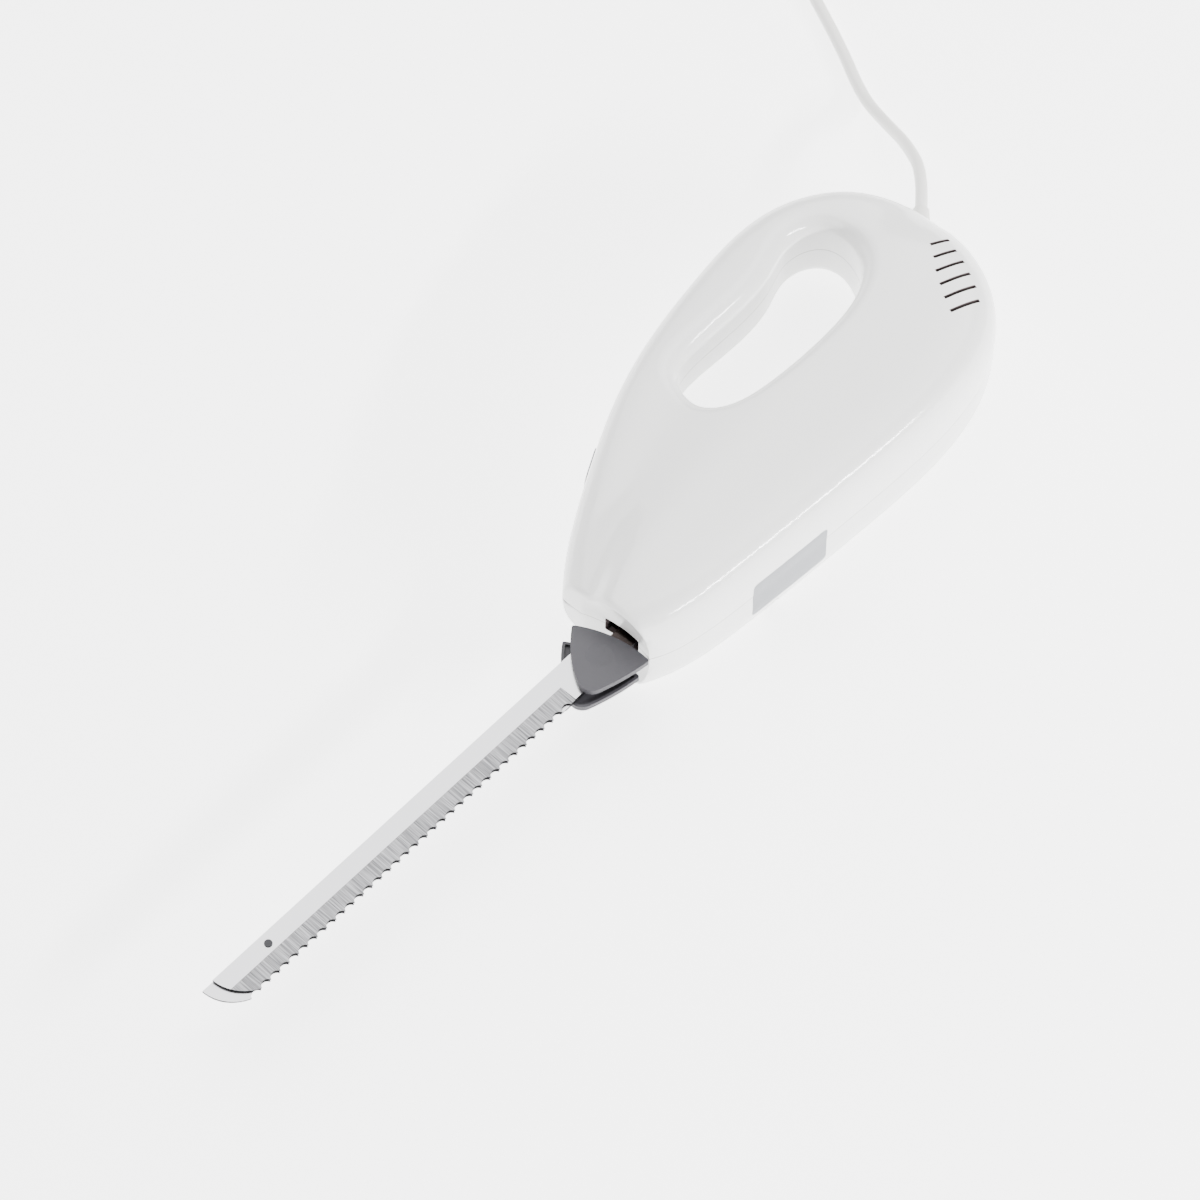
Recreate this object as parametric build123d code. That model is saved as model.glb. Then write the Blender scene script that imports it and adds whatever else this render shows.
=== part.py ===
"""Electric carving knife: two reciprocating serrated blades in a D-handled moulded housing.

Working frame, in millimetres: x runs back from the nose face along the blades, y runs from the
cutting edge towards the handle, z runs from the right side to the left side of the knife, and
zero is where the blade centre line crosses the nose face. The finished pieces are moved so that
the knife lies on its right side with the middle of its lowest plane at the origin.
"""
from build123d import *
import math
import os

# Housing, the outside form
body_length = 227.5
body_low = 29.8
body_high = 92.0
body_half_width = 27.0
grip_half_width = 17.0
wall = 2.6
tail_height = 35.0
low_corner = 13.0
low_corner_share = 0.42
crest_corner = 15.0
crest_corner_share = 0.8
crest_edge_share = 0.72
crest_edge_drop_share = 0.3
waist_width_share = 0.12
waist_rise_share = 0.72
side_crown = 0.9
hole_rim_radius = 7.0
hole_wall = 4.0
nose_rim_radius = 2.5

# Nose of the housing
mouth_half_width = 3.8
mouth_low = 8.2
mouth_high = 8.2
mouth_corner = 1.0
nose_wall = 5.5
dish_radius = 20.0
dish_drop = 2.0
dish_depth = 4.0

# Cooling slots in both rear corners
vent_gap = 1.5
vent_length = 15.1
vent_slope = -14.5

# Blades and their guards
blade_reach = 209.9
blade_high = 8.1
blade_low = 7.0
blade_thickness = 1.0
blade_gap = 0.3
bevel_width = 7.6
bevel_setback = 22.0
edge_thickness = 0.5
tooth_pitch = 4.85
tooth_count = 34
tooth_depth = 1.6
scallop_radius = 2.4
first_tooth = 10.0
tip_radius = 16.6
tang_half_height = 4.5
tang_length = 38.0
rivet_setback = 24.6
rivet_height = 3.9
rivet_radius = 1.5
rivet_head_radius = 1.6
rivet_head = 0.35
rivet_back_radius = 2.25
guard_depth = 2.4
guard_plate = 1.2
guard_rim = 1.2
guard_stand_off = 1.4
guard_reach = 28.0
guard_top = 15.2
guard_bottom = 16.9
guard_tip_drop = 9.6
guard_lean = 8.1
guard_corner = 0.8
guard_toe_radius = 5.5
guard_back_bulge = 2.8
guard_low_bulge = 1.0
guard_front_bulge = 2.4
guard_gap = 2.45
guard_dimple_radius = 5.2
guard_dimple_depth = 0.55
guard_hub_back = 11.0
guard_hub_drop = 1.5
guard_hub_radius = 5.5

# Drive: worm wheel with two eccentrics, and the blade carriers
throw = 4.0
rest_offset = 2.65
wheel_x = 73.0
wheel_teeth = 28
gear_module = 1.0
worm_pitch_radius = 3.8
tooth_play = 0.22
wheel_width = 8.0
axle_radius = 2.0
eccentric_radius = 7.2
eccentric_thickness = 4.6
yoke_rim = 3.2
yoke_thickness = 3.4
carrier_low = 8.0
carrier_high = 4.0
carrier_front = 13.0
pressure_angle = 20.0
worm_turns = 7
bore_gap = 0.01
running_gap = 0.2
slot_play = 0.2
yoke_clearance = 1.2
carrier_thick_length = 27.0
axle_boss_radius = 4.6
axle_half_length = 18.0
stud_radius = 2.0
stud_back = 24.0
fit_gap = 0.05

# Motor
motor_y = -1.0
shaft_radius = 2.0
shaft_front = 51.0
shaft_back = 172.0
core_front = 118.0
core_length = 24.0
core_height = 40.0
core_width = 34.0
core_frame = 4.5
leg_thickness = 2.8
leg_half_width = 7.0
rotor_radius = 11.0
air_gap = 0.5
pole_half_width = 6.0
winding_radius = 9.0
winding_overhang = 5.0
commutator_radius = 6.0
commutator_length = 9.0
commutator_x = 153.0
brush_side = 4.4
brush_length = 8.0
holder_wall = 1.2
bracket_thickness = 3.0
bracket_front = 98.0
bracket_back = 166.0
bush_radius = 4.5
bush_length = 6.0
bolt_radius = 1.5
bolt_head_radius = 2.8
bolt_head = 2.2
fan_radius = 15.5
fan_plate = 1.5
fan_depth = 6.0
fan_blades = 9
fan_x = 104.0
hub_radius = 4.0
rotor_slots = 9
slot_width = 1.6
slot_depth = 3.5
commutator_bars = 9
groove_width = 0.6

# Buttons
power_x = 51.0
power_slope = 28.0
power_length = 18.0
power_width = 10.0
release_x = 23.0
release_length = 11.0
release_width = 6.0
power_rise = 0.5
release_rise = 0.1
button_travel = 2.5
power_skirt = 6.5
release_skirt = 13.0
button_flange = 1.5
button_gap = 0.35
stem_radius = 2.0
switch_length = 20.0
switch_height = 10.0
switch_width = 8.0

# Housing screws
screw_radius = 1.5
screw_length = 16.0
screw_head_radius = 2.9
screw_head = 2.2
screw_seat = 6.0
boss_radius = 3.8
hole_clearance = 0.2

# Mains lead
cord_radius = 2.5
cord_exit_x = 224.0
cord_exit_y = 43.0
cord_exit_angle = 38.0
sleeve_length = 24.0
sleeve_out = 8.0
sleeve_radius = 4.2
sleeve_end_radius = 3.3
sleeve_flange = 1.2
tail_length = 14.0
clamp_length = 9.0
clamp_width = 16.0
clamp_thickness = 3.0
wire_radius = 1.2
lead_spacing = 1.6
run_share = 0.45
wire_first_run = 6.5
lead_first_run = 18.0
lead_last_run = 26.0
cord_lift = 0.05
coil_x = 350.0
coil_y = 180.0
coil_start_angle = 150.0
coil_tail = 40.0
coil_turns = 3.5
coil_inner = 17.5
coil_pitch = 5.6
tie_width = 6.0
tie_thickness = 0.8
plug_width = 35.3
plug_thickness = 13.7
plug_length = 38.0
plug_neck = 14.0
plug_neck_radius = 3.6
plug_face = 5.0
plug_shoulder_half = 11.0
pin_radius = 2.0
pin_length = 19.0
pin_spacing = 18.6

overrun = 60.0

# Stations of the housing from the nose back: place along the length, underside and crest as
# shares of their depth and height, half width, grip half width, shoulder and grip level
station_shares = [
    (0.000, 0.450, 0.300, 0.815, 0.853, 0.065, 0.185),
    (0.079, 0.705, 0.448, 0.940, 0.941, 0.109, 0.304),
    (0.198, 0.825, 0.615, 0.985, 1.000, 0.163, 0.478),
    (0.343, 0.905, 0.790, 1.000, 1.000, 0.207, 0.630),
    (0.484, 0.967, 0.900, 1.000, 0.971, 0.239, 0.739),
    (0.624, 1.000, 0.957, 1.000, 0.971, 0.272, 0.826),
    (0.740, 0.935, 0.980, 0.985, 1.000, 0.304, 0.848),
    (0.833, 0.740, 0.944, 0.925, 1.029, 0.348, 0.783),
    (0.904, 0.395, 0.846, 0.796, 1.000, 0.359, 0.684),
    (0.956, -0.085, 0.702, 0.593, 0.794, 0.370, 0.570),
    (0.984, -0.577, 0.548, 0.348, 0.500, 0.380, 0.457),
]
# Housing screws: along the body length, and up the body height
screw_shares = [(0.075, 0.263), (0.278, -0.240), (0.385, 0.670), (0.731, 0.925), (0.800, -0.160)]
# Vents in the rear flanks, from the handle down: along the body length, up the body height, start
# of the cut across the half width, and length
vent_shares = [
    (0.934, 0.260, 0.42, 0.61),
    (0.917, 0.196, 0.46, 0.73),
    (0.899, 0.132, 0.50, 0.90),
    (0.882, 0.067, 0.53, 0.96),
    (0.865, 0.003, 0.56, 1.00),
    (0.847, -0.061, 0.58, 0.92),
]
# Leads inside the handle: along the body length, up the body height, and across the half width
feed_shares = [
    (0.850, 0.390),
    (0.868, 0.560),
    (0.883, 0.720),
    (0.815, 0.845),
    (0.700, 0.835),
    (0.600, 0.800),
    (0.500, 0.778),
    (0.420, 0.785),
    (0.350, 0.715),
    (0.315, 0.630),
    (0.2872, 0.5935),
]
onward_shares = [
    (0.298, 0.541, 0.100),
    (0.3213, 0.5717, 0.130),
    (0.350, 0.520, 0.260),
    (0.373, 0.335, 0.400),
    (0.420, 0.238, 0.460),
    (0.462, 0.210, 0.460),
    (0.493, 0.140, 0.330),
]
# Route of the free cord after the sleeve; no height means lying on the surface
lead_route = [
    (256.0, 77.0, -8.0),
    (264.5, 94.0, -18.5),
    (272.0, 114.0, None),
    (286.0, 138.0, None),
]
# Finger hole outline: along the body length, and up the body height
hole_shares = [
    (0.414, 0.545),
    (0.426, 0.365),
    (0.515, 0.295),
    (0.624, 0.285),
    (0.743, 0.325),
    (0.829, 0.485),
    (0.835, 0.685),
    (0.768, 0.757),
    (0.706, 0.716),
    (0.645, 0.690),
    (0.532, 0.688),
    (0.438, 0.648),
]


def section(row, inset=0.0, start=0.0, stretch=1.0):
    """One closed housing section, square to the length, drawn in by the inset."""
    along, low, high, width, grip, shoulder, level = row
    x = start + along * body_length * stretch
    bottom = inset - low * body_low
    top = high * body_high - inset
    half = width * body_half_width - inset
    grip_half = grip * grip_half_width - inset
    shoulder_y = shoulder * body_high
    grip_y = level * body_high
    low_r = min(low_corner, low_corner_share * (shoulder_y - bottom)) - inset / 2
    high_r = min(crest_corner, crest_corner_share * (top - grip_y)) - inset / 2
    bend = 1 - math.sqrt(0.5)
    side = [
        (half - low_r, bottom + side_crown / 4),
        (half - low_r * bend, bottom + low_r * bend),
        (half - side_crown / 6, bottom + low_r),
        (half, (bottom + low_r + shoulder_y) / 2),
        (half - side_crown, shoulder_y),
        (
            grip_half + waist_width_share * (half - grip_half),
            shoulder_y + waist_rise_share * (grip_y - shoulder_y),
        ),
        (grip_half, grip_y),
        (grip_half * crest_edge_share, top - high_r * crest_edge_drop_share),
    ]
    outline = [(0, bottom)] + side + [(0, top)] + [(-z, y) for z, y in reversed(side)]
    points = [Vector(x, y, z) for z, y in outline]
    return Wire([Edge.make_spline(points, periodic=True)])


def housing_form(inset=0.0, front=0.0):
    """The whole outside form of the housing, or its hollow when drawn in by the wall."""
    stretch = (body_length - front - inset) / body_length
    rings = [section(row, inset, front, stretch) for row in station_shares]
    end = Vertex(body_length - inset, tail_height, 0)
    return Solid.make_loft(rings + [end])


def hole_prism(grow=0.0):
    """A prism through the finger hole, grown all round by the given thickness."""
    spots = [(a * body_length, h * body_high) for a, h in hole_shares]
    points = []
    for before, spot, after in zip(spots[-1:] + spots[:-1], spots, spots[1:] + spots[:1]):
        run, rise = after[0] - before[0], after[1] - before[1]
        reach = math.hypot(run, rise)
        points.append(Vector(spot[0] + grow * rise / reach, spot[1] - grow * run / reach, -overrun))
    face = Face(Wire([Edge.make_spline(points, periodic=True)]))
    return extrude(face, amount=2 * overrun, dir=(0, 0, 1))


def block(x, y, z):
    """A box between two ends on each axis."""
    size = [abs(b - a) for a, b in (x, y, z)]
    middle = [(a + b) / 2 for a, b in (x, y, z)]
    return Pos(*middle) * Box(*size)


def rod(x, y, z0, z1, radius):
    """A cylinder along z."""
    return Pos(x, y, (z0 + z1) / 2) * Cylinder(radius, abs(z1 - z0))


def bar(x0, x1, y, z, radius):
    """A cylinder along x."""
    return Pos((x0 + x1) / 2, y, z) * Rot(0, 90, 0) * Cylinder(radius, abs(x1 - x0))


def pill(plane, length, width, low, high):
    """A round-ended prism standing on a plane between two heights."""
    flat = SlotOverall(length, width)
    return plane * Pos(0, 0, low) * extrude(flat, amount=high - low)


def crest_at(x):
    """Height of the crest above the blade line at a place along the body."""
    shares = [(row[0] * body_length, row[2] * body_high) for row in station_shares]
    for (x0, y0), (x1, y1) in zip(shares, shares[1:]):
        if x0 <= x <= x1:
            return y0 + (y1 - y0) * (x - x0) / (x1 - x0)
    return shares[-1][1]


def tilted_plane(x, slope):
    """A plane on the crest whose normal leans forward by the slope."""
    lean = math.radians(slope)
    along = (math.cos(lean), math.sin(lean), 0)
    normal = (-math.sin(lean), math.cos(lean), 0)
    return Plane(origin=(x, crest_at(x), 0), x_dir=along, z_dir=normal)


def halves(shape):
    """The left and right half of a shape that the middle plane crosses."""
    left = shape & block((-overrun, body_length + overrun), (-2 * overrun, 3 * overrun), (0, overrun))
    right = shape & block((-overrun, body_length + overrun), (-2 * overrun, 3 * overrun), (-overrun, 0))
    return left, right


# Places that several pieces share
worm_radius = worm_pitch_radius + gear_module
wheel_pitch_radius = wheel_teeth * gear_module / 2
wheel_y = motor_y + worm_pitch_radius + wheel_pitch_radius
blade_inner = blade_gap / 2
blade_outer = blade_inner + blade_thickness
yoke_inner = wheel_width / 2 + yoke_clearance
yoke_outer = yoke_inner + yoke_thickness
law_angle = math.acos(2 / math.pi)
law_error = throw * (math.sin(law_angle) - 2 * law_angle / math.pi)
slot_half = eccentric_radius + law_error + slot_play
yoke_half_x = slot_half + yoke_rim
yoke_half_y = eccentric_radius + throw + slot_play + yoke_rim
rest_angle = math.radians(90 * rest_offset / throw)
channel_half = yoke_outer + running_gap
guide_front = carrier_front + throw + running_gap
guide_back = shaft_front - bush_length / 2 - fit_gap
carrier_middle = (carrier_high - carrier_low) / 2
power_plane = tilted_plane(power_x, power_slope)
release_plane = tilted_plane(release_x, 0)
core_back = core_front + core_length
commutator_back = commutator_x + commutator_length / 2
exit_angle = math.radians(cord_exit_angle)
exit_along = Vector(math.cos(exit_angle), math.sin(exit_angle), 0)
exit_point = Vector(cord_exit_x, cord_exit_y, 0)
exit_plane = Plane(origin=exit_point, x_dir=exit_along, z_dir=(0, 0, 1))
pieces = {}


def housing():
    """Left and right shells with their bosses, ribs, slots and seats."""
    form = housing_form()
    hollow = housing_form(wall, nose_wall) - hole_prism(hole_wall)
    body = form - hole_prism()
    rims = [
        e for e in body.edges()
        if abs(e.center().Z) > hole_rim_radius and e.center().X > body_length / 3
    ]
    body = fillet(rims, hole_rim_radius)
    body = fillet(body.edges().sort_by(Axis.X)[0], nose_rim_radius)
    shell = body - hollow

    # Ribs that carry the motor core and the carrier guide
    ribs = []
    for x in (core_front + wall, core_back - wall):
        ribs.append(block((x - wall / 2, x + wall / 2), (-overrun, overrun), (-overrun, overrun)))
    ribs = [(rib & hollow) - motor_box(fit_gap) for rib in ribs]
    guide_ribs = []
    for x in (guide_front + wall / 2, guide_back - 2 * wall):
        slab = block((x - wall / 2, x + wall / 2), (-overrun, mouth_high + wall), (-overrun, overrun))
        guide_ribs.append((slab & hollow) - guide_box(fit_gap))
    # Post of the front shaft bush, between the two carriers
    post_half = yoke_inner - 2 * running_gap
    post = block(
        (shaft_front - bush_length / 2, shaft_front + bush_length / 2),
        (-overrun, motor_y + bush_radius + wall),
        (-post_half, post_half),
    )
    post = (post & hollow) - bar(0, overrun * 2, motor_y, 0, bush_radius + fit_gap)
    # Shelf of the power switch
    switch_top = power_skirt + button_travel + 2 * fit_gap
    shelf_top = switch_top + switch_height
    shelf = power_plane * Pos(0, 0, -shelf_top - wall / 2 - fit_gap)
    shelf = (shelf * Box(switch_length + 2 * wall, overrun, wall)) & hollow
    # Seat of the cord clamp, on the right shell alone
    clamp_middle = sleeve_out - sleeve_length - tail_length / 2
    seat = exit_plane * Pos(clamp_middle, 0, -cord_radius - body_half_width / 2)
    seat = (seat * Box(clamp_length, clamp_width, body_half_width)) & hollow
    for side in (-1, 1):
        spot = exit_plane * Pos(clamp_middle, side * clamp_width / 3, 0)
        seat -= spot * Cylinder(screw_radius + fit_gap, 4 * screw_seat)

    # Screw bosses
    bosses = []
    for a, h in screw_shares:
        x, y = a * body_length, h * body_high
        bosses.append(rod(x, y, -overrun, overrun, boss_radius) & hollow)
    # Bosses that hold the ends of the wheel axle
    boss_start = wheel_width / 2 + eccentric_thickness + running_gap
    for side in (-1, 1):
        z0, z1 = sorted((side * boss_start, side * overrun))
        boss = rod(wheel_x, wheel_y, z0, z1, axle_boss_radius) & hollow
        socket = rod(wheel_x, wheel_y, -axle_half_length, axle_half_length, axle_radius + fit_gap)
        bosses.append(boss - socket)

    left, right = halves(shell + ribs + guide_ribs + [post, shelf] + bosses)
    right = right + seat

    # Mouth, dish, buttons, vents and cord hole
    mouth = Plane.YZ * Pos((mouth_high - mouth_low) / 2, 0, -overrun)
    mouth = mouth * extrude(
        RectangleRounded(mouth_high + mouth_low, 2 * mouth_half_width, mouth_corner),
        amount=overrun + 2 * nose_wall,
    )
    dish_sphere = (dish_radius**2 + dish_depth**2) / (2 * dish_depth)
    cuts = [mouth, Pos(dish_depth - dish_sphere, -dish_drop, 0) * Sphere(dish_sphere)]
    for plane, length, width, skirt in (
        (power_plane, power_length, power_width, power_skirt),
        (release_plane, release_length, release_width, release_skirt),
    ):
        cuts.append(pill(plane, length + 2 * button_gap, width + 2 * button_gap, -skirt, overrun))
    cuts.append(exit_plane * Rot(0, 90, 0) * Cylinder(sleeve_radius + fit_gap, 2 * sleeve_out))
    for along, up, deep, long in vent_shares:
        slot = Rot(0, 0, vent_slope) * Box(long * vent_length, vent_gap, overrun)
        height = deep * body_half_width + overrun / 2
        for side in (-1, 1):
            cuts.append(Pos(along * body_length, up * body_high, side * height) * slot)
    left_cuts = list(cuts)
    right_cuts = list(cuts)
    for a, h in screw_shares:
        x, y = a * body_length, h * body_high
        left_cuts.append(rod(x, y, -overrun, screw_length - screw_seat + wall / 2, screw_radius + fit_gap))
        right_cuts.append(rod(x, y, -overrun, overrun, screw_radius + hole_clearance))
        right_cuts.append(rod(x, y, -overrun, -screw_seat, screw_head_radius + hole_clearance))
    pieces["left_housing"] = left - left_cuts
    pieces["right_housing"] = right - right_cuts
    return form


def guide_box(grow=0.0):
    """The outside of the carrier guide, grown all round."""
    return block(
        (guide_front - grow, guide_back + grow),
        (-carrier_low - running_gap - wall - grow, carrier_high + running_gap + wall + grow),
        (-channel_half - wall - grow, channel_half + wall + grow),
    )


def motor_box(grow=0.0):
    """The space of the motor core, open along the shaft and grown all round."""
    return block(
        (core_front - overrun, core_back + overrun),
        (motor_y - core_height / 2 - grow, motor_y + core_height / 2 + grow),
        (-core_width / 2 - grow, core_width / 2 + grow),
    )


def housing_screws():
    """Pan head screws driven from the right side."""
    screws = []
    for a, h in screw_shares:
        x, y = a * body_length, h * body_high
        shank = rod(x, y, -screw_seat, screw_length - screw_seat, screw_radius)
        head = rod(x, y, -screw_seat - screw_head, -screw_seat, screw_head_radius)
        screws.append(shank + head)
    pieces["housing_screws"] = Compound(screws)


def buttons(form):
    """Power button with its switch, and the blade release button."""
    rows = (
        ("power_button", power_plane, power_length, power_width, power_skirt, power_rise),
        ("release_button", release_plane, release_length, release_width, release_skirt, release_rise),
    )
    for name, plane, length, width, skirt, rise in rows:
        lifted = Pos(*(plane.z_dir * rise)) * form
        cap = pill(plane, length, width, -skirt, overrun) & lifted
        wide, long = width + 2 * button_flange, length + 2 * button_flange
        cap += pill(plane, long, wide, -skirt, -skirt + button_flange)
        pieces[name] = cap
    # The power stem reaches into the switch, and the release stem into the guide
    switch_top = power_skirt + button_travel + 2 * fit_gap
    stem_end = switch_top + stem_radius
    stem = Pos(0, 0, -(power_skirt + stem_end) / 2) * Cylinder(stem_radius, stem_end - power_skirt)
    pieces["power_button"] += power_plane * stem
    bore = power_plane * Pos(0, 0, -switch_top) * Cylinder(
        stem_radius + hole_clearance, 2 * (stem_radius + button_travel + hole_clearance)
    )
    switch = Pos(0, 0, -switch_top - switch_height / 2) * Box(switch_length, switch_width, switch_height)
    pieces["power_switch"] = power_plane * switch - bore
    stem_low = carrier_high + running_gap + wall + running_gap
    stem_high = crest_at(release_x) - release_skirt
    stem = Rot(90, 0, 0) * Cylinder(stem_radius, stem_high - stem_low)
    pieces["release_button"] += Pos(release_x, (stem_low + stem_high) / 2, 0) * stem


def carrier_guide():
    """Fixed channel that both blade carriers slide in."""
    guide = guide_box()
    channel = block(
        (-overrun, 2 * overrun),
        (-carrier_low - running_gap, carrier_high + running_gap),
        (-channel_half, channel_half),
    )
    window = stem_radius + running_gap
    opening = block((release_x - window, release_x + window), (0, overrun), (-window, window))
    pieces["carrier_guide"] = guide - channel - opening


def carrier(side):
    """Blade carrier with its slotted yoke, in the middle of its stroke; side is 1 for the left."""
    def span(near, far):
        return tuple(sorted((side * near, side * far)))

    front = block(
        (carrier_front, carrier_front + carrier_thick_length),
        (-carrier_low, carrier_high),
        span(blade_outer + fit_gap, yoke_outer),
    )
    plate = span(yoke_inner, yoke_outer)
    rail = block((carrier_front, wheel_x + yoke_half_x), (-carrier_low, carrier_high), plate)
    yoke = block(
        (wheel_x - yoke_half_x, wheel_x + yoke_half_x),
        (wheel_y - yoke_half_y, wheel_y + yoke_half_y),
        plate,
    )
    slot_length = 2 * (eccentric_radius + throw + slot_play)
    slot = Pos(wheel_x, wheel_y, 0) * Box(2 * slot_half, slot_length, 2 * overrun)
    stud = rod(stud_back, carrier_middle, *span(blade_inner + fit_gap, yoke_inner), stud_radius)
    return front + rail + yoke - slot + stud


def blade(side):
    """Serrated blade, hollow ground on its outer face, in the middle of its stroke."""
    tip = -blade_reach
    low, high = -blade_low, blade_high
    heel = -guard_gap - guard_lean
    # The tip sweeps from square at the back down to the first tooth
    swing = []
    for share in (1.0, 0.5):
        angle = share * math.asin((high - low) / tip_radius)
        swing.append((tip + tip_radius * (1 - math.cos(angle)), high - tip_radius * math.sin(angle)))
    outline = Polyline(
        (tip, high),
        (heel, high),
        (heel, carrier_middle + tang_half_height),
        (tang_length, carrier_middle + tang_half_height),
        (tang_length, carrier_middle - tang_half_height),
        (heel, carrier_middle - tang_half_height),
        (heel, low),
        swing[0],
    )
    flat = make_face([outline, ThreePointArc(swing[0], swing[1], (tip, high))])
    plate = extrude(flat, amount=blade_thickness)
    # Bevel along the cutting edge
    wedge = Polyline(
        (low, edge_thickness),
        (low + bevel_width, blade_thickness),
        (low + bevel_width, 2 * blade_thickness),
        (low - blade_thickness, 2 * blade_thickness),
        (low - blade_thickness, edge_thickness),
        close=True,
    )
    ground = extrude(Plane.YZ * make_face(wedge), amount=blade_reach + heel - bevel_setback)
    plate -= Pos(tip, 0, 0) * ground
    # Scallops between the teeth
    cuts = []
    for index in range(tooth_count):
        x = tip + first_tooth + (index + 0.5) * tooth_pitch
        scallop = Cylinder(scallop_radius, 4 * blade_thickness)
        cuts.append(Pos(x, low - scallop_radius + tooth_depth, 0) * scallop)
    plate -= cuts
    plate -= rod(stud_back, carrier_middle, -overrun, overrun, stud_radius + hole_clearance)
    rivet_x = rest_rivet_x()
    if side > 0:
        plate -= rod(rivet_x, rivet_height, -overrun, overrun, rivet_radius + fit_gap)
        return Pos(0, 0, blade_inner) * plate
    play = 2 * throw + rivet_radius + hole_clearance
    slot = Pos(rivet_x, rivet_height, -blade_thickness) * extrude(
        SlotOverall(2 * play, 2 * (rivet_radius + hole_clearance)), amount=4 * blade_thickness
    )
    plate -= slot
    return mirror(Pos(0, 0, blade_inner) * plate, about=Plane.XY)


def rest_rivet_x():
    """Place of the tip rivet along the blades in the middle of the stroke."""
    return -blade_reach + rivet_setback


def guard(side):
    """Shield-shaped hand guard with its hub on the blade."""
    back = -guard_gap
    top = (back - guard_lean, guard_top)
    bottom = (back, -guard_bottom)
    front = (back - guard_reach, -guard_tip_drop)
    edges = []
    corners = [top, bottom, front]
    bulges = [guard_back_bulge, guard_low_bulge, guard_front_bulge]
    for a, b, bulge in zip(corners, corners[1:] + corners[:1], bulges):
        run, rise = b[0] - a[0], b[1] - a[1]
        reach = math.hypot(run, rise)
        middle = ((a[0] + b[0]) / 2 - rise / reach * bulge, (a[1] + b[1]) / 2 + run / reach * bulge)
        edges.append(ThreePointArc(a, middle, b))
    flat = make_face(edges)
    toe = flat.vertices().sort_by(Axis.X)[0]
    flat = fillet(toe, guard_toe_radius)
    sharp = flat.vertices().sort_by(Axis.X)[-2:]
    flat = fillet(sharp, guard_corner)
    tray = Pos(0, 0, guard_stand_off) * extrude(flat, amount=guard_depth)
    recess = offset(flat, amount=-guard_rim)
    tray -= Pos(0, 0, guard_stand_off) * extrude(recess, amount=guard_depth - guard_plate)
    hub_x = back - guard_hub_back
    face_z = guard_stand_off + guard_depth
    hub = rod(hub_x, -guard_hub_drop, blade_outer, face_z, guard_hub_radius)
    ball = (guard_dimple_radius**2 + guard_dimple_depth**2) / (2 * guard_dimple_depth)
    dimple = Pos(hub_x, -guard_hub_drop, face_z - guard_dimple_depth + ball) * Sphere(ball)
    whole = tray + hub - dimple
    return whole if side > 0 else mirror(whole, about=Plane.XY)


def blade_set():
    """Carriers, blades, guards and rivet, moved from mid-stroke to the photographed rest."""
    for side, name in ((1, "left"), (-1, "right")):
        shift = Pos(side * rest_offset, 0, 0)
        pieces[name + "_carrier"] = shift * carrier(side)
        pieces[name + "_blade"] = shift * blade(side)
        pieces[name + "_guard"] = shift * guard(side)
    head = rod(0, 0, blade_outer, blade_outer + rivet_head, rivet_head_radius)
    shank = rod(0, 0, -blade_outer - running_gap - rivet_head, blade_outer, rivet_radius)
    back = -blade_outer - running_gap
    back_head = rod(0, 0, back - rivet_head, back, rivet_back_radius)
    rivet = head + shank + back_head
    pieces["tip_rivet"] = Pos(rest_rivet_x() + rest_offset, rivet_height, 0) * rivet


def worm_wheel():
    """Moulded wheel with slanted teeth and an eccentric on each face, a half turn apart."""
    half_pitch = math.pi / wheel_teeth
    tip = wheel_pitch_radius + gear_module
    root = wheel_pitch_radius - gear_module - running_gap
    flank = math.tan(math.radians(pressure_angle))
    middle_half = gear_module * math.pi / 4 - tooth_play / 2
    outline = []
    for tooth in range(wheel_teeth):
        centre = -math.pi / 2 + (2 * tooth + 1) * half_pitch
        for radius, side in ((root, -1), (tip, -1), (tip, 1), (root, 1)):
            half = middle_half - (radius - wheel_pitch_radius) * flank
            angle = centre + side * half / radius
            outline.append((radius * math.cos(angle), radius * math.sin(angle)))
    flat = make_face(Polyline(*outline, close=True))
    slant = gear_module / (2 * worm_pitch_radius) * wheel_width / wheel_pitch_radius
    gear = Solid.extrude_linear_with_rotation(
        flat.face(), (0, 0, 0), (0, 0, wheel_width), math.degrees(slant)
    )
    gear = Pos(0, 0, -wheel_width / 2) * Rot(0, 0, -math.degrees(slant) / 2) * gear
    wheel = Part() + gear
    for side in (-1, 1):
        x = side * throw * math.sin(rest_angle)
        y = side * throw * math.cos(rest_angle)
        z0, z1 = sorted((side * wheel_width / 2, side * (wheel_width / 2 + eccentric_thickness)))
        wheel += rod(x, y, z0, z1, eccentric_radius)
    wheel -= rod(0, 0, -overrun, overrun, axle_radius + fit_gap)
    pieces["worm_wheel"] = Pos(wheel_x, wheel_y, 0) * wheel
    half_length = axle_half_length - fit_gap
    pieces["wheel_axle"] = rod(wheel_x, wheel_y, -half_length, half_length, axle_radius)


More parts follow.
